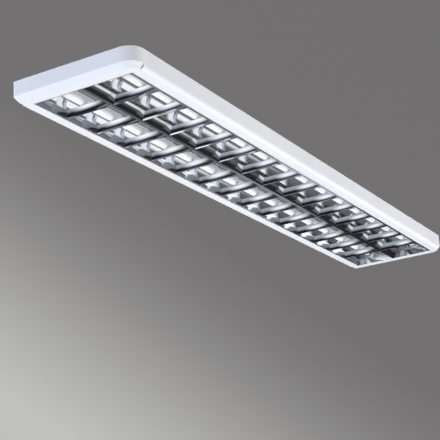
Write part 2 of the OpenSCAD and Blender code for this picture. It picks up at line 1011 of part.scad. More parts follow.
module ballast_screws()
    color(steel_grey)
        hung()
            both_ends()
                translate([ballast_screw_x, 0, 0]) {
                    translate([0, 0, pan_z - ballast_foot_t - ballast_screw_head_h])
                        cylinder(h = ballast_screw_head_h, r = ballast_screw_head_r);
                    translate([0, 0, pan_z - ballast_foot_t - ballast_screw_head_h / 2])
                        cylinder(h = ballast_foot_t + tray_t + ballast_screw_head_h / 2 - touch,
                                 r = ballast_screw_r - rivet_fit);
                }

module terminal_block()
    color("#F0F0F0")
        hung()
            translate([-terminal_x, 0, pan_z - term_h])
                difference() {
                    union() {
                        translate([-term_l / 2, -term_w / 2 + term_foot_h, 0])
                            cube([term_l, term_w - 2 * term_foot_h, term_h]);
                        translate([-term_l / 2, -term_w / 2, term_h - term_foot_h])
                            cube([term_l, term_w, term_foot_h]);
                        for (s = [-1, 1])
                            translate([s * term_peg_x, 0, term_h - term_foot_h])
                                cylinder(h = term_foot_h + tray_t - touch, r = term_peg_r);
                    }
                    for (k = [0 : term_poles - 1])
                        translate([(k - 1) * term_l / term_poles, 0, 0]) {
                            translate([0, 0, term_h / 2])
                                rotate([90, 0, 0])
                                    cylinder(h = term_w + 2 * over, r = term_hole_r, center = true);
                            translate([0, 0, -over])
                                cylinder(h = term_well_h + over, r = term_well_r);
                        }
                }

module terminal_screws()
    color(brass_gold)
        hung()
            for (k = [0 : term_poles - 1])
                translate([-terminal_x + (k - 1) * term_l / term_poles, 0, pan_z - term_h + term_well_h / 3])
                    difference() {
                        cylinder(h = term_well_h * 2 / 3, r = term_screw_r);
                        cube([3 * term_screw_r, term_slot_w, 2 * term_slot_w], center = true);
                    }

module earth_stud()
    color(brass_gold)
        hung()
            translate([-stud_x, 0, 0]) {
                translate([0, 0, pan_z - stud_l])
                    cylinder(h = stud_l, r = stud_r);
                translate([0, 0, pan_z - stud_washer_t - lug_t - stud_nut_h])
                    cylinder(h = stud_nut_h, r = stud_nut_w / sqrt(3), $fn = 6);
                translate([0, 0, pan_z - stud_washer_t])
                    cylinder(h = stud_washer_t, r = stud_washer_r);
            }

// A lead that runs through a list of points, as round bars joined by balls
module lead(points) {
    for (i = [0 : len(points) - 2]) {
        step = points[i + 1] - points[i];
        flat = norm([step[0], step[1]]);
        translate(points[i])
            rotate([0, atan2(flat, step[2]), atan2(step[1], step[0])])
                cylinder(h = norm(step), r = wire_r, $fn = 16);
        if (i > 0)
            translate(points[i])
                sphere(wire_r, $fn = 16);
    }
}

// Four leads from one end of the ballast to the two lampholders of that end
module lamp_leads() {
    out_x = ballast_l / 2 + ballast_foot_l + 6 * wire_r;
    for (k = [0 : ports - 1]) {
        side = k < ports / 2 ? -1 : 1;
        inner = (k == 0 || k == ports - 1) ? 0 : 1;
        lane_y = side * (trough_in_y - sheet_t - 2 * wire_r - inner * wire_pitch - touch);
        lead([[port_x, port_y(k), port_z],
              [out_x, port_y(k), port_z],
              [out_x + 6 * wire_r, lane_y, wire_z],
              [lead_turn_x[inner], lane_y, wire_z],
              [lead_turn_x[inner], side * lead_end_y[inner], wire_z],
              [lead_turn_x[inner], side * lead_end_y[inner], holder_top_z - lead_in]]);
    }
}

module lamp_leads_far()
    color(wire_white)
        hung()
            lamp_leads();

module lamp_leads_near()
    color(wire_white)
        hung()
            mirror([1, 0, 0])
                lamp_leads();

// Live and neutral leads to the ballast, and an earth lead with its lug on the stud
module supply_leads()
    color("#6B4A3A")
        hung() {
            hole_z = pan_z - term_h / 2;
            lug_z = pan_z - stud_washer_t - lug_t;
            lug_tab = stud_washer_r + wire_pitch;
            exit_y = -term_w / 2 - 2 * wire_r;
            low_x = -ballast_l / 2 - stud_dist * 2;
            for (k = [0, 1]) {
                x = -terminal_x + (k - 1) * term_l / term_poles;
                lane_y = exit_y - (2 - k) * wire_pitch;
                lead([[x, -term_w / 4, hole_z],
                      [x, lane_y, hole_z],
                      [low_x - term_h, lane_y, hole_z],
                      [low_x, (2 * k - 1) * port_pitch, supply_port_z],
                      [-port_x, (2 * k - 1) * port_pitch, supply_port_z]]);
            }
            lead([[-terminal_x + term_l / term_poles, -term_w / 4, hole_z],
                  [-terminal_x + term_l / term_poles, exit_y, hole_z],
                  [-stud_x, exit_y, lug_z + lug_t / 2],
                  [-stud_x, -stud_washer_r - fit_gap, lug_z + lug_t / 2]]);
            translate([-stud_x, 0, lug_z])
                difference() {
                    union() {
                        cylinder(h = lug_t, r = lug_r);
                        translate([-wire_r, -lug_tab, 0])
                            cube([2 * wire_r, lug_tab, lug_t]);
                    }
                    cylinder(h = 4 * lug_t, r = stud_r + wire_fit, center = true);
                }
        }

module lead_clips()
    color("#F0F0F0")
        hung()
            both_ends()
                for (k = [1 : clips_per_side])
                    translate([ballast_l / 2 + k * (holder_x - ballast_l / 2) / (clips_per_side + 1), 0, 0])
                        both_sides()
                            along_x(clip_l) {
                                out = trough_in_y - sheet_t - touch;
                                in = out - 2 * wire_pitch - 2 * wire_r - clip_t;
                                low = wire_z - wire_r - clip_t - touch;
                                translate([in, low])
                                    square([out - in, clip_t]);
                                translate([in, low])
                                    square([clip_t, pan_z - low]);
                            }

gear_tray();
side_rail_left();
side_rail_right();
end_cap_near();
end_cap_far();
end_cap_screws();
rail_rivets();
holder_plate_near();
holder_plate_far();
plate_screws();
lampholder_left_near();
lampholder_left_far();
lampholder_right_near();
lampholder_right_far();
lamp_reflector_left();
lamp_reflector_right();
reflector_rivets();
ballast_case();
ballast_terminals();
ballast_screws();
terminal_block();
terminal_screws();
earth_stud();
cable_grommet();
supply_leads();
lamp_leads_near();
lamp_leads_far();
lead_clips();
hinge_brackets();
louvre_catches();
side_reflector_left();
side_reflector_right();
spine_reflector();
louvre_end_plate_near();
louvre_end_plate_far();
hinge_pins();
catch_tongues();
for (i = [1 : cells - 1])
    cross_blade(i);
lamp_tube_left();
lamp_caps_left();
lamp_pins_left();
rotors_left();
lamp_tube_right();
lamp_caps_right();
lamp_pins_right();
rotors_right();
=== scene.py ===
import json
import math

import bpy
from bpy.props import FloatProperty, FloatVectorProperty, PointerProperty
from mathutils import Matrix, Vector

bl_info = {
    "name": "Surface mount louvre light",
    "version": (1, 0, 0),
    "blender": (4, 5, 0),
    "location": "View3D > Sidebar > Louvre Light",
    "description": "Finishes and studio for a surface mounted ceiling light with a mirror louvre",
    "category": "Object",
}

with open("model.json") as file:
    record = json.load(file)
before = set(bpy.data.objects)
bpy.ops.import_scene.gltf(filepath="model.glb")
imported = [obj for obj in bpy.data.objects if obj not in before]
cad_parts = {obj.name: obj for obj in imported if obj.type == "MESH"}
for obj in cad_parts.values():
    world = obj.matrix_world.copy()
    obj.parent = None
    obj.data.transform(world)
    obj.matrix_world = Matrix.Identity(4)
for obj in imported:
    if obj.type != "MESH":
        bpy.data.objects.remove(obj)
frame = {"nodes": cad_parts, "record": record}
bpy.context.view_layer.update()
NODES = frame["nodes"]
SLOT_OF = {part["node"]: part["material_slot"] for part in frame["record"]["subparts"]}

PHOTO_PX = 440
MM = 0.001
WHITE = (1.0, 1.0, 1.0)

# how far each row's middle is from the spine's
ROW_MIDDLE_Y = 0.046

# how far from a lamp's middle its white begins to turn grey, and where it is all grey
LAMP_WHITE_X = 0.532
LAMP_GREY_X = 0.566
LAMP_GLOW = 0.28

# bow of a blade's sheet, as height over distance squared, per metre
BLADE_BOW = 3.3

# sheet that the photo shows darker than the louvre's other mirrors
# painted shade: the spine and the lamp troughs are the same bright aluminium as the other mirrors, darkened
# in colour to stand in for the shade and dark reflections on them
SPINE_PAINTED_SHADE = 0.55
TROUGH_PAINTED_SHADE = 0.68

LINES_ALONG = (0.02, 1.0, 1.0)
LINES_ACROSS = (1.0, 0.02, 1.0)
DUST = (0.42, 0.40, 0.38)


# Settings


def colour_prop(name, description, default):
    return FloatVectorProperty(name=name, description=description, default=default, size=3,
                               min=0.0, max=1.0, subtype="COLOR")


class LouvreLightFinish(bpy.types.PropertyGroup):
    """Colours and gloss of the light's finishes."""
    housing_white: colour_prop("Housing white", "Powder coat of the rails and end caps",
                               (0.84, 0.855, 0.90))
    housing_gloss: FloatProperty(name="Housing roughness", description="Roughness of the powder coat",
                                 default=0.36, min=0.05, max=1.0, subtype="FACTOR")
    tray_white: colour_prop("Tray white", "Paint of the gear tray and holder plates", (0.74, 0.745, 0.76))
    mirror_tint: colour_prop("Mirror tint", "Anodised bright aluminium of the louvre", (0.86, 0.885, 0.93))
    mirror_gloss: FloatProperty(name="Mirror roughness", description="Roughness of the bright aluminium",
                                default=0.045, min=0.0, max=1.0, subtype="FACTOR")
    phosphor: colour_prop("Lamp white", "Phosphor coat seen through the lamp's glass", (0.92, 0.935, 0.96))


class LouvreLightStudio(bpy.types.PropertyGroup):
    """Lights and backdrop of the studio."""
    below_power: FloatProperty(name="Box below", description="Softbox under the light", default=43.0,
                               min=0.0, unit="POWER")
    end_power: FloatProperty(name="Box at the near end", description="Softbox off the near end",
                             default=43.0, min=0.0, unit="POWER")
    side_power: FloatProperty(name="Box at the right side", description="Softbox off the long right side",
                              default=61.0, min=0.0, unit="POWER")
    above_power: FloatProperty(name="Box above", description="Softbox over the ceiling side",
                               default=14.0, min=0.0, unit="POWER")
    card_level: FloatProperty(name="Card level", description="Brightness of the white cards in the mirrors",
                              default=1.5, min=0.0)
    ambient: FloatProperty(name="Ambient", description="Soft light from all round", default=0.45, min=0.0)
    floor_drop: FloatProperty(name="Floor below ceiling", description="Depth of the floor under the light",
                              default=6.0, min=0.5, unit="LENGTH")


# Shader groups


def node(tree, kind, place=(0, 0), **values):
    """A shader node with its settings; a name that is no setting of it is one of its inputs."""
    made = tree.nodes.new(kind)
    made.location = place
    for key, value in values.items():
        if hasattr(made, key):
            setattr(made, key, value)
        else:
            made.inputs[key.replace("_", " ").title()].default_value = value
    return made


def new_group(name, inputs, outputs):
    """A shader node group with named sockets; returns the tree and its two end nodes."""
    tree = bpy.data.node_groups.new(name, "ShaderNodeTree")
    for label, kind, default in inputs:
        socket = tree.interface.new_socket(label, in_out="INPUT", socket_type=kind)
        if default is not None:
            socket.default_value = default
    for label, kind in outputs:
        tree.interface.new_socket(label, in_out="OUTPUT", socket_type=kind)
    return tree, node(tree, "NodeGroupInput", (-900, 0)), node(tree, "NodeGroupOutput", (600, 0))


def make_grain_group():
    """Fine rounded bumps all over, as on powder coat and moulded plastic."""
    tree, given, out = new_group("fine_grain", [
        ("Place", "NodeSocketVector", None), ("Scale", "NodeSocketFloat", 900.0)],
        [("Height", "NodeSocketFloat"), ("Mask", "NodeSocketFloat")])
    noise = node(tree, "ShaderNodeTexNoise", (-600, 100), Detail=2.0, Roughness=0.45)
    broad = node(tree, "ShaderNodeTexNoise", (-600, -200), Scale=9.0, Detail=3.0)
    link = tree.links.new
    link(given.outputs["Place"], noise.inputs["Vector"])
    link(given.outputs["Scale"], noise.inputs["Scale"])
    link(given.outputs["Place"], broad.inputs["Vector"])
    link(noise.outputs["Fac"], out.inputs["Height"])
    link(broad.outputs["Fac"], out.inputs["Mask"])
    return tree


def make_tone_group():
    """Slow change of a colour over the surface, between two shades of it."""
    tree, given, out = new_group("tone_drift", [
        ("Place", "NodeSocketVector", None), ("Colour", "NodeSocketColor", (0.8, 0.8, 0.8, 1.0)),
        ("Other", "NodeSocketColor", (0.7, 0.7, 0.7, 1.0)), ("Scale", "NodeSocketFloat", 6.0)],
        [("Colour", "NodeSocketColor")])
    noise = node(tree, "ShaderNodeTexNoise", (-600, 0), Detail=4.0, Roughness=0.6)
    edge = node(tree, "ShaderNodeMapRange", (-400, 0))
    edge.inputs["From Min"].default_value = 0.38
    edge.inputs["From Max"].default_value = 0.66
    mix = node(tree, "ShaderNodeMix", (0, 0), data_type="RGBA")
    link = tree.links.new
    link(given.outputs["Place"], noise.inputs["Vector"])
    link(given.outputs["Scale"], noise.inputs["Scale"])
    link(noise.outputs["Fac"], edge.inputs["Value"])
    link(edge.outputs["Result"], mix.inputs["Factor"])
    link(given.outputs["Colour"], mix.inputs["A"])
    link(given.outputs["Other"], mix.inputs["B"])
    link(mix.outputs["Result"], out.inputs["Colour"])
    return tree


def make_rolled_group():
    """Rolled sheet: long fine lines one way, and slow shallow waves."""
    tree, given, out = new_group("rolled_sheet", [
        ("Place", "NodeSocketVector", None), ("Stretch", "NodeSocketVector", LINES_ALONG),
        ("Line Scale", "NodeSocketFloat", 1400.0), ("Wave Scale", "NodeSocketFloat", 22.0)],
        [("Lines", "NodeSocketFloat"), ("Waves", "NodeSocketFloat")])
    squeeze = node(tree, "ShaderNodeVectorMath", (-700, 100), operation="MULTIPLY")
    lines = node(tree, "ShaderNodeTexNoise", (-450, 100), Detail=3.0, Roughness=0.7)
    waves = node(tree, "ShaderNodeTexNoise", (-450, -200), Detail=0.0)
    link = tree.links.new
    link(given.outputs["Place"], squeeze.inputs[0])
    link(given.outputs["Stretch"], squeeze.inputs[1])
    link(squeeze.outputs["Vector"], lines.inputs["Vector"])
    link(given.outputs["Line Scale"], lines.inputs["Scale"])
    link(given.outputs["Place"], waves.inputs["Vector"])
    link(given.outputs["Wave Scale"], waves.inputs["Scale"])
    link(lines.outputs["Fac"], out.inputs["Lines"])
    link(waves.outputs["Fac"], out.inputs["Waves"])
    return tree


def make_dust_group():
    """Dust that settles in faint clouds and in small specks."""
    tree, given, out = new_group("dust", [
        ("Place", "NodeSocketVector", None), ("Scale", "NodeSocketFloat", 12.0),
        ("Amount", "NodeSocketFloat", 0.3)], [("Mask", "NodeSocketFloat")])
    cloud = node(tree, "ShaderNodeTexNoise", (-600, 150), Detail=5.0, Roughness=0.65)
    specks = node(tree, "ShaderNodeTexNoise", (-600, -150), Scale=420.0, Detail=1.0)
    bite = node(tree, "ShaderNodeMapRange", (-400, 150))
    bite.inputs["From Min"].default_value = 0.45
    bite.inputs["From Max"].default_value = 0.8
    sharp = node(tree, "ShaderNodeMapRange", (-400, -150))
    sharp.inputs["From Min"].default_value = 0.66
    sharp.inputs["From Max"].default_value = 0.76
    both = node(tree, "ShaderNodeMath", (-150, 0), operation="MAXIMUM")
    part = node(tree, "ShaderNodeMath", (50, 0), operation="MULTIPLY", use_clamp=True)
    link = tree.links.new
    for texture in (cloud, specks):
        link(given.outputs["Place"], texture.inputs["Vector"])
    link(given.outputs["Scale"], cloud.inputs["Scale"])
    link(cloud.outputs["Fac"], bite.inputs["Value"])
    link(specks.outputs["Fac"], sharp.inputs["Value"])
    link(bite.outputs["Result"], both.inputs[0])
    link(sharp.outputs["Result"], both.inputs[1])
    link(both.outputs["Value"], part.inputs[0])
    link(given.outputs["Amount"], part.inputs[1])
    link(part.outputs["Value"], out.inputs["Mask"])
    return tree


GROUPS = {}


def group_node(tree, name, place, **values):
    """One of the shared groups, built when it is first asked for, with its own values."""
    makers = {"fine_grain": make_grain_group, "tone_drift": make_tone_group,
              "rolled_sheet": make_rolled_group, "dust": make_dust_group}
    if name not in GROUPS:
        GROUPS[name] = makers[name]()
    made = tree.nodes.new("ShaderNodeGroup")
    made.node_tree = GROUPS[name]
    made.location = place
    for key, value in values.items():
        made.inputs[key].default_value = value
    return made


# Materials


def rgba(colour, factor=1.0):
    """A colour as a socket takes it, brighter or darker by a factor."""
    return (colour[0] * factor, colour[1] * factor, colour[2] * factor, 1.0)


def start_material(name):
    """A new material with one Principled shader; returns it, its tree, the shader and the place."""
    material = bpy.data.materials.new(name)
    material.use_nodes = True
    tree = material.node_tree
    tree.nodes.clear()
    output = node(tree, "ShaderNodeOutputMaterial", (500, 0))
    shader = node(tree, "ShaderNodeBsdfPrincipled", (150, 0))
    place = node(tree, "ShaderNodeTexCoord", (-1100, 0))
    tree.links.new(shader.outputs["BSDF"], output.inputs["Surface"])
    return material, tree, shader, place.outputs["Object"]


def spread(tree, source, low, high, place):
    """Maps a mask from 0..1 to low..high."""
    made = node(tree, "ShaderNodeMapRange", place)
    made.inputs["To Min"].default_value = low
    made.inputs["To Max"].default_value = high
    tree.links.new(source, made.inputs["Value"])
    return made.outputs["Result"]


def bump(tree, shader, height, depth_mm, strength):
    """Bends the shader's normal by a height."""
    made = node(tree, "ShaderNodeBump", (-60, -300), Distance=depth_mm * MM, Strength=strength)
    tree.links.new(height, made.inputs["Height"])
    tree.links.new(made.outputs["Normal"], shader.inputs["Normal"])


def dusty_colour(tree, place, colour, shade, scale, dust_amount):
    """Colour that drifts to a shade of itself and carries a little dust."""
    drift = group_node(tree, "tone_drift", (-800, 200), Colour=rgba(colour), Other=rgba(colour, shade),
                       Scale=scale)
    film = group_node(tree, "dust", (-800, -50), Amount=dust_amount)
    mix = node(tree, "ShaderNodeMix", (-300, 200), data_type="RGBA")
    mix.inputs["B"].default_value = rgba(DUST)
    link = tree.links.new
    link(place, drift.inputs["Place"])
    link(place, film.inputs["Place"])
    link(drift.outputs["Colour"], mix.inputs["A"])
    link(film.outputs["Mask"], mix.inputs["Factor"])
    return mix.outputs["Result"]


def painted(name, colour, roughness, grain_scale=700.0, grain_mm=0.02, shade=0.955, dust=0.05, coat=0.0):
    """Powder coat or moulded plastic: fine peel, slight drift of tone, a trace of dust."""
    material, tree, shader, place = start_material(name)
    tone = dusty_colour(tree, place, colour, shade, 5.0, dust)
    grain = group_node(tree, "fine_grain", (-800, -350), Scale=grain_scale)
    tree.links.new(place, grain.inputs["Place"])
    tree.links.new(tone, shader.inputs["Base Color"])
    tree.links.new(spread(tree, grain.outputs["Mask"], roughness * 0.85, roughness * 1.2, (-300, -50)),
                   shader.inputs["Roughness"])
    shader.inputs["Coat Weight"].default_value = coat
    shader.inputs["Coat Roughness"].default_value = 0.12
    bump(tree, shader, grain.outputs["Height"], grain_mm, 0.5)
    return material


def bowed(tree, place, height, depth):
    """Adds the slight bow of a louvre blade, deepest over each lamp, to a bump height."""
    apart = node(tree, "ShaderNodeSeparateXYZ", (-1150, -600))
    side = node(tree, "ShaderNodeMath", (-1000, -600), operation="ABSOLUTE")
    off = node(tree, "ShaderNodeMath", (-850, -600), operation="SUBTRACT")
    square = node(tree, "ShaderNodeMath", (-700, -600), operation="MULTIPLY")
    total = node(tree, "ShaderNodeMath", (-350, -600), operation="MULTIPLY_ADD")
    off.inputs[1].default_value = ROW_MIDDLE_Y
    total.inputs[1].default_value = depth
    link = tree.links.new
    link(place, apart.inputs["Vector"])
    link(apart.outputs["Y"], side.inputs[0])
    link(side.outputs["Value"], off.inputs[0])
    link(off.outputs["Value"], square.inputs[0])
    link(off.outputs["Value"], square.inputs[1])
    link(square.outputs["Value"], total.inputs[0])
    link(height, total.inputs[2])
    return total.outputs["Value"]


def sheet_metal(name, colour, low, high, stretch, line_mm=0.004, wave_mm=0.0, shade=0.97, dust=0.0,
                bow=0.0):
    """Bare metal with its rolling lines, and shallow waves where the sheet is thin."""
    material, tree, shader, place = start_material(name)
    tone = dusty_colour(tree, place, colour, shade, 8.0, dust)
    rolled = group_node(tree, "rolled_sheet", (-800, -350), Stretch=stretch)
    tree.links.new(place, rolled.inputs["Place"])
    tree.links.new(tone, shader.inputs["Base Color"])
    tree.links.new(spread(tree, rolled.outputs["Lines"], low, high, (-300, -50)),
                   shader.inputs["Roughness"])
    shader.inputs["Metallic"].default_value = 1.0
    height = node(tree, "ShaderNodeMath", (-350, -350), operation="MULTIPLY_ADD")
    height.inputs[1].default_value = wave_mm / line_mm
    tree.links.new(rolled.outputs["Waves"], height.inputs[0])
    tree.links.new(rolled.outputs["Lines"], height.inputs[2])
    relief = height.outputs["Value"]
    if bow:
        relief = bowed(tree, place, relief, bow / (line_mm * MM))
    bump(tree, shader, relief, line_mm, 1.0)
    return material


def lamp_glass(name, colour):
    """White phosphor behind clear glass, greyer close to the lamp's two caps, with a weak glow."""
    material, tree, shader, place = start_material(name)
    apart = node(tree, "ShaderNodeSeparateXYZ", (-900, 200))
    reach = node(tree, "ShaderNodeMath", (-750, 200), operation="ABSOLUTE")
    ring = node(tree, "ShaderNodeMapRange", (-550, 200), interpolation_type="SMOOTHSTEP")
    ring.inputs["From Min"].default_value = LAMP_WHITE_X
    ring.inputs["From Max"].default_value = LAMP_GREY_X
    mix = node(tree, "ShaderNodeMix", (-300, 200), data_type="RGBA")
    drift = group_node(tree, "tone_drift", (-550, 450), Colour=rgba(colour), Other=rgba(colour, 0.97),
                       Scale=20.0)
    mix.inputs["B"].default_value = rgba(colour, 0.55)
    grain = group_node(tree, "fine_grain", (-800, -350), Scale=260.0)
    link = tree.links.new
    link(place, apart.inputs["Vector"])
    link(place, drift.inputs["Place"])
    link(place, grain.inputs["Place"])
    link(apart.outputs["X"], reach.inputs[0])
    link(reach.outputs["Value"], ring.inputs["Value"])
    link(drift.outputs["Colour"], mix.inputs["A"])
    link(ring.outputs["Result"], mix.inputs["Factor"])
    link(mix.outputs["Result"], shader.inputs["Base Color"])
    link(spread(tree, grain.outputs["Mask"], 0.35, 0.5, (-300, -50)), shader.inputs["Roughness"])
    shader.inputs["Coat Weight"].default_value = 1.0
    shader.inputs["Coat Roughness"].default_value = 0.03
    shader.inputs["Emission Color"].default_value = rgba(colour)
    shader.inputs["Emission Strength"].default_value = LAMP_GLOW
    return material


def dress(nodes, material):
    """Puts a material on every slot of the named nodes."""
    for name in nodes:
        for place in NODES[name].material_slots:
            place.material = material


def nodes_of(*slots):
    """Names of the nodes whose record names one of these material slots."""
    return [name for name, slot in SLOT_OF.items() if slot in slots]


# Operators


class LOUVRELIGHT_OT_housing(bpy.types.Operator):
    """Paints the rails, end caps, gear tray and holder plates"""
    bl_idname = "louvrelight.housing"
    bl_label = "Housing paint"

    def execute(self, context):
        finish = context.scene.louvre_light_finish
        rails = painted("rail_powder_coat", finish.housing_white, finish.housing_gloss)
        caps = painted("cap_moulding", finish.housing_white, finish.housing_gloss * 0.9, grain_scale=520.0)
        tray = painted("tray_paint", finish.tray_white, 0.45, dust=0.16)
        dress(nodes_of("white_paint"), rails)
        dress(nodes_of("white_moulding"), caps)
        dress(nodes_of("tray_paint"), tray)
        return {"FINISHED"}


class LOUVRELIGHT_OT_mirrors(bpy.types.Operator):
    """Gives the louvre and the lamp reflectors their bright rolled aluminium, darkened on the spine and
    troughs as painted shade
    """
    bl_idname = "louvrelight.mirrors"
    bl_label = "Mirror louvre"

    def execute(self, context):
        finish = context.scene.louvre_light_finish

        def sheet(name, level, lines, **relief):
            tint = [level * part for part in finish.mirror_tint]
            return sheet_metal(name, tint, finish.mirror_gloss * 0.7, finish.mirror_gloss * 1.6, lines,
                               line_mm=0.0006, **relief)

        lengthwise = sheet("bright_sheet_along", 1.0, LINES_ALONG, wave_mm=0.02)
        crosswise = sheet("bright_sheet_across", 1.0, LINES_ACROSS, wave_mm=0.012, bow=BLADE_BOW)
        # painted shade: the spine's and the troughs' sheets are darker copies of the same bright aluminium
        spine = sheet("bright_sheet_spine", SPINE_PAINTED_SHADE, LINES_ALONG, wave_mm=0.02)
        trough = sheet("bright_sheet_trough", TROUGH_PAINTED_SHADE, LINES_ALONG, wave_mm=0.02)
        for name in nodes_of("mirror_sheet"):
            if "blade" in name or "plate" in name:
                dress([name], crosswise)
            elif name == "spine_reflector":
                dress([name], spine)
            elif name.startswith("lamp_reflector"):
                dress([name], trough)
            else:
                dress([name], lengthwise)
        return {"FINISHED"}


class LOUVRELIGHT_OT_lamps(bpy.types.Operator):
    """Finishes the lamps, their caps, pins, holders and rotors"""
    bl_idname = "louvrelight.lamps"
    bl_label = "Lamps and holders"

    def execute(self, context):
        finish = context.scene.louvre_light_finish
        dress(nodes_of("lamp_glass"), lamp_glass("lamp_phosphor_glass", finish.phosphor))
        dress(nodes_of("lamp_cap"), sheet_metal("lamp_cap_aluminium", (0.72, 0.73, 0.74), 0.22, 0.4,
                                                (0.05, 1.0, 1.0), line_mm=0.01))
        dress(nodes_of("holder_moulding"), painted("holder_moulding", (0.80, 0.80, 0.79), 0.32,
                                                   grain_scale=1500.0, grain_mm=0.01, coat=0.2))
        return {"FINISHED"}


class LOUVRELIGHT_OT_gear(bpy.types.Operator):
    """Finishes the ballast, terminals, leads, clips and fasteners"""
    bl_idname = "louvrelight.gear"
    bl_label = "Gear and wiring"

    def execute(self, context):
        for slot, material in (
                ("zinc_steel", sheet_metal("zinc_plate", (0.60, 0.61, 0.63), 0.25, 0.48, (1.0, 0.1, 1.0),
                                           line_mm=0.006, shade=0.86)),
                ("ballast_can", sheet_metal("ballast_can_steel", (0.66, 0.67, 0.68), 0.3, 0.5, LINES_ALONG,
                                            line_mm=0.006, shade=0.9, dust=0.1)),
                ("brass", sheet_metal("brass", (0.76, 0.58, 0.28), 0.2, 0.4, (1.0, 1.0, 0.1),
                                      line_mm=0.006, shade=0.85)),
                ("terminal_moulding", painted("terminal_moulding", (0.78, 0.78, 0.76), 0.4,
                                              grain_scale=1300.0, grain_mm=0.01)),
                ("dark_rubber", painted("grommet_rubber", (0.028, 0.028, 0.03), 0.62, grain_scale=900.0,
                                        shade=1.5, dust=0.12)),
                ("lead_jacket", painted("lead_jacket", (0.62, 0.62, 0.60), 0.42, grain_scale=1100.0,
                                        grain_mm=0.008))):
            dress(nodes_of(slot), material)
        return {"FINISHED"}


# Studio

CAMERA_PLACE = Vector((-1.9241, -0.9493, -0.7812))
CAMERA_TARGET = Vector((0.08155, 0.15606, -0.042))
CAMERA_ROLL = math.radians(-4.056)
CAMERA_FOCUS_PX = 1237.7

# direction in which the backdrop grows lighter, and the backdrop's levels along it;
# past its two ends the mirrors see a dark room
GLOW_SIDE = Vector((-0.0916, 0.6629, -0.7431))
BACKDROP_LEVELS = [
    (-0.27, (0.168, 0.163, 0.166)), (0.016, (0.172, 0.166, 0.169)), (0.057, (0.206, 0.200, 0.203)),
    (0.094, (0.268, 0.262, 0.262)), (0.137, (0.366, 0.362, 0.352)), (0.165, (0.432, 0.432, 0.418)),
    (0.206, (0.525, 0.525, 0.510)), (0.60, (0.525, 0.525, 0.515))]
DARK_ROOM = (0.010, 0.012, 0.018)
DARK_BELOW = [(-0.55, DARK_ROOM)]
DARK_ABOVE = [(0.50, (0.42, 0.41, 0.46)), (0.80, (0.05, 0.055, 0.08))]

# the mirrors' view turns from the dark room to the backdrop between these two, which are
# shares of a direction that point the camera's way
BEHIND_CAMERA = -0.1
AHEAD_OF_CAMERA = 0.6

CENTRE = (0, 0, -0.02)
COOL_WHITE = (0.93, 0.95, 1.0)

# name, place, size, the setting that holds its power, colour
SOFTBOXES = [
    ("box_below", (0.2, 0.2, -2.3), (2.6, 1.2), "below_power", WHITE),
    ("box_near_end", (-2.6, 1.2, -0.7), (1.0, 1.2), "end_power", (0.74, 0.82, 1.0)),
    ("box_right_side", (0.8, -2.8, -0.6), (3.0, 1.2), "side_power", WHITE),
    ("box_above", (0.3, 0.2, 1.7), (1.6, 0.8), "above_power", WHITE)]

# depth under the light at which the mirrors see the floor cards; the floor itself lies deeper,
# so that a camera right under the light stays above it
CARD_DROP = 2.6
FLAG_Z = -1.2
FLAG_REACH = 6.5
FLAG_SIZE = (15.0, 2.4)

# name, place, the point it faces, size, share of the card level, colour, width of the soft edge
CARDS = [
    ("card_right_side", (0.7, -1.45, -2.0), (0.7, -1.45, 0), (6.0, 1.7), 1.0, WHITE, 0.35),
    ("card_near_end", (-2.4, 1.5, -1.1), CENTRE, (2.2, 1.8), 0.75, COOL_WHITE, 0.9),
    ("card_floor", (-2.2, 1.5, -CARD_DROP + 0.02), (-2.2, 1.5, 0), (18.0, 18.0), 0.28,
     (0.90, 0.95, 1.0), 0.9)]

# name, place, the point it faces, size, level, width of the soft edge
DARK_CARDS = [
    ("card_floor_base", (0, 0, -CARD_DROP), (0, 0, 0), (12.0, 12.0), 0.17, 0.02),
    ("flag_far_end", (FLAG_REACH, 0, FLAG_Z), (0, 0, FLAG_Z), FLAG_SIZE, 0.04, 0.2),
    ("flag_left_side", (0, FLAG_REACH, FLAG_Z), (0, 0, FLAG_Z), FLAG_SIZE, 0.04, 0.2),
    ("flag_right_side", (0, -FLAG_REACH, FLAG_Z), (0, 0, FLAG_Z), FLAG_SIZE, 0.04, 0.2)]

FLOOR_SIZE = 120


def aim(obj, place, target, roll=0.0):
    """Puts an object at a place and turns its -Z axis to a target."""
    forward = (Vector(target) - Vector(place)).normalized()
    turn = forward.to_track_quat("-Z", "Y").to_matrix() @ Matrix.Rotation(roll, 3, "Z")
    obj.matrix_world = Matrix.Translation(Vector(place)) @ turn.to_4x4()


def softbox(name, place, target, size, power, colour):
    """A rectangular light that neither the camera nor the mirrors see."""
    data = bpy.data.lights.new(name, "AREA")
    data.shape = "RECTANGLE"
    data.size, data.size_y = size
    data.energy = power
    data.color = colour
    lamp = bpy.data.objects.new(name, data)
    bpy.context.scene.collection.objects.link(lamp)
    aim(lamp, place, target)
    lamp.visible_camera = lamp.visible_glossy = False


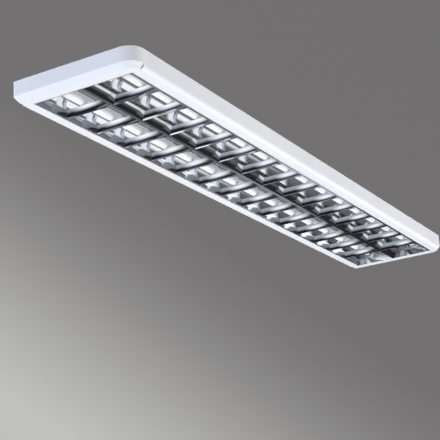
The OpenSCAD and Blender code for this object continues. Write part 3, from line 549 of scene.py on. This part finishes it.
def card(name, place, target, size, level, colour, edge):
    """A glowing card with soft edges that only the mirrors and gloss see."""
    bpy.ops.mesh.primitive_plane_add(size=1)
    made = bpy.context.object
    made.name = name
    aim(made, place, target)
    made.matrix_world = made.matrix_world @ Matrix.Diagonal((size[0], size[1], 1.0, 1.0))
    material = bpy.data.materials.new(name)
    material.use_nodes = True
    tree = material.node_tree
    tree.nodes.clear()
    where = node(tree, "ShaderNodeTexCoord", (-1000, 0))
    apart = node(tree, "ShaderNodeSeparateXYZ", (-850, 0))
    both = node(tree, "ShaderNodeMath", (-200, 0), operation="MULTIPLY")
    link = tree.links.new
    link(where.outputs["Object"], apart.inputs["Vector"])
    for i, axis in enumerate("XY"):
        reach = node(tree, "ShaderNodeMath", (-650, -200 * i), operation="ABSOLUTE")
        fade = node(tree, "ShaderNodeMapRange", (-450, -200 * i), interpolation_type="SMOOTHSTEP")
        fade.inputs["From Min"].default_value = 0.5
        fade.inputs["From Max"].default_value = 0.5 * (1 - edge)
        link(apart.outputs[axis], reach.inputs[0])
        link(reach.outputs["Value"], fade.inputs["Value"])
        link(fade.outputs["Result"], both.inputs[i])
    clear = node(tree, "ShaderNodeBsdfTransparent", (0, 100))
    glow = node(tree, "ShaderNodeEmission", (0, -100), Color=rgba(colour), Strength=level)
    mix = node(tree, "ShaderNodeMixShader", (250, 0))
    out = node(tree, "ShaderNodeOutputMaterial", (450, 0))
    link(both.outputs["Value"], mix.inputs["Fac"])
    link(clear.outputs["BSDF"], mix.inputs[1])
    link(glow.outputs["Emission"], mix.inputs[2])
    link(mix.outputs["Shader"], out.inputs["Surface"])
    made.data.materials.append(material)
    made.visible_camera = made.visible_diffuse = made.visible_shadow = False


def along(tree, vector, axis, place):
    """How far a direction points along an axis."""
    made = node(tree, "ShaderNodeVectorMath", place, operation="DOT_PRODUCT")
    made.inputs[1].default_value = axis
    tree.links.new(vector, made.inputs[0])
    return made.outputs["Value"]


def levels_ramp(tree, share, levels, place):
    """Colours along a value, each at its own level of it."""
    low, high = levels[0][0], levels[-1][0]
    scaled = node(tree, "ShaderNodeMapRange", (place[0] - 200, place[1]))
    scaled.inputs["From Min"].default_value = low
    scaled.inputs["From Max"].default_value = high
    ramp = node(tree, "ShaderNodeValToRGB", place)
    stops = ramp.color_ramp.elements
    while len(stops) < len(levels):
        stops.new(0.5)
    for stop, (level, colour) in zip(stops, levels):
        stop.position = (level - low) / (high - low)
        stop.color = (*colour, 1.0)
    tree.links.new(share, scaled.inputs["Value"])
    tree.links.new(scaled.outputs["Result"], ramp.inputs["Fac"])
    return ramp.outputs["Color"]


def mirrored_colour(tree, direction, forward, ramp):
    """What the mirrors see of the room: the backdrop ahead, and the dark room behind the camera."""
    ahead = along(tree, direction, forward, (-900, -200))
    front = node(tree, "ShaderNodeMapRange", (-700, -200), interpolation_type="SMOOTHSTEP")
    front.inputs["From Min"].default_value = BEHIND_CAMERA
    front.inputs["From Max"].default_value = AHEAD_OF_CAMERA
    mix = node(tree, "ShaderNodeMix", (-200, 0), data_type="RGBA")
    mix.inputs["A"].default_value = rgba(DARK_ROOM)
    link = tree.links.new
    link(ahead, front.inputs["Value"])
    link(front.outputs["Result"], mix.inputs["Factor"])
    link(ramp, mix.inputs["B"])
    return mix.outputs["Result"]


def make_camera():
    """The photo's camera."""
    data = bpy.data.cameras.new("camera")
    camera = bpy.data.objects.new("camera", data)
    bpy.context.scene.collection.objects.link(camera)
    data.sensor_fit = "HORIZONTAL"
    data.angle = 2 * math.atan(PHOTO_PX / 2 / CAMERA_FOCUS_PX)
    data.clip_end = 100
    aim(camera, CAMERA_PLACE, CAMERA_TARGET, CAMERA_ROLL)
    bpy.context.scene.camera = camera


def make_world(ambient):
    """The backdrop for the camera, a darker room for the mirrors, and plain soft light."""
    world = bpy.data.worlds.new("studio")
    bpy.context.scene.world = world
    world.use_nodes = True
    tree = world.node_tree
    tree.nodes.clear()
    out = node(tree, "ShaderNodeOutputWorld", (500, 0))
    seen = node(tree, "ShaderNodeBackground", (0, 300))
    mirrored = node(tree, "ShaderNodeBackground", (0, 100))
    soft = node(tree, "ShaderNodeBackground", (0, -100), Strength=ambient)
    soft.inputs["Color"].default_value = rgba(WHITE)
    either = node(tree, "ShaderNodeMixShader", (200, 0))
    final = node(tree, "ShaderNodeMixShader", (350, 0))
    place = node(tree, "ShaderNodeTexCoord", (-1200, 0))
    path = node(tree, "ShaderNodeLightPath", (-500, -300))
    both = node(tree, "ShaderNodeMath", (-100, -300), operation="MAXIMUM")
    forward = (CAMERA_TARGET - CAMERA_PLACE).normalized()
    direction = place.outputs["Generated"]
    glow = along(tree, direction, GLOW_SIDE, (-900, 200))
    room = levels_ramp(tree, glow, DARK_BELOW + BACKDROP_LEVELS[:-1] + DARK_ABOVE, (-500, 100))
    link = tree.links.new
    link(levels_ramp(tree, glow, BACKDROP_LEVELS, (-500, 400)), seen.inputs["Color"])
    link(mirrored_colour(tree, direction, forward, room), mirrored.inputs["Color"])
    link(path.outputs["Is Glossy Ray"], both.inputs[0])
    link(path.outputs["Is Transmission Ray"], both.inputs[1])
    link(both.outputs["Value"], either.inputs["Fac"])
    link(soft.outputs["Background"], either.inputs[1])
    link(mirrored.outputs["Background"], either.inputs[2])
    link(path.outputs["Is Camera Ray"], final.inputs["Fac"])
    link(either.outputs["Shader"], final.inputs[1])
    link(seen.outputs["Background"], final.inputs[2])
    link(final.outputs["Shader"], out.inputs["Surface"])


def make_floor(drop):
    """A pale floor that the mirrors don't see: they have the floor cards."""
    bpy.ops.mesh.primitive_plane_add(size=FLOOR_SIZE, location=(0, 0, -drop))
    floor = bpy.context.object
    floor.name = "floor"
    floor.data.materials.append(painted("floor_paint", (0.72, 0.72, 0.71), 0.7, shade=0.97, dust=0.0))
    floor.visible_glossy = floor.visible_transmission = False


class LOUVRELIGHT_OT_studio(bpy.types.Operator):
    """Sets the camera, softboxes, cards, backdrop and floor"""
    bl_idname = "louvrelight.studio"
    bl_label = "Studio"

    def execute(self, context):
        studio = context.scene.louvre_light_studio
        make_camera()
        for name, place, size, setting, colour in SOFTBOXES:
            softbox(name, place, CENTRE, size, getattr(studio, setting), colour)
        for name, place, target, size, share, colour, edge in CARDS:
            card(name, place, target, size, studio.card_level * share, colour, edge)
        for name, place, target, size, level, edge in DARK_CARDS:
            card(name, place, target, size, level, WHITE, edge)
        make_world(studio.ambient)
        make_floor(studio.floor_drop)
        context.scene.view_settings.view_transform = "Standard"
        return {"FINISHED"}


class LOUVRELIGHT_PT_panel(bpy.types.Panel):
    """Lists the pieces of the louvre light and its settings"""
    bl_idname = "LOUVRELIGHT_PT_panel"
    bl_label = "Louvre light"
    bl_space_type = "VIEW_3D"
    bl_region_type = "UI"
    bl_category = "Louvre Light"

    def draw(self, context):
        for maker in OPERATORS:
            self.layout.operator(maker.bl_idname)
        for settings in (context.scene.louvre_light_finish, context.scene.louvre_light_studio):
            for key in settings.__annotations__:
                self.layout.prop(settings, key)


OPERATORS = (LOUVRELIGHT_OT_housing, LOUVRELIGHT_OT_mirrors, LOUVRELIGHT_OT_lamps, LOUVRELIGHT_OT_gear,
             LOUVRELIGHT_OT_studio)
CLASSES = (LouvreLightFinish, LouvreLightStudio) + OPERATORS + (LOUVRELIGHT_PT_panel,)


def register():
    for cls in CLASSES:
        bpy.utils.register_class(cls)
    bpy.types.Scene.louvre_light_finish = PointerProperty(type=LouvreLightFinish)
    bpy.types.Scene.louvre_light_studio = PointerProperty(type=LouvreLightStudio)


def unregister():
    del bpy.types.Scene.louvre_light_studio
    del bpy.types.Scene.louvre_light_finish
    for cls in reversed(CLASSES):
        bpy.utils.unregister_class(cls)


def main():
    register()
    for maker in OPERATORS:
        area, name = maker.bl_idname.split(".")
        getattr(getattr(bpy.ops, area), name)()
    bpy.context.view_layer.update()


if __name__ == "__main__":
    main()
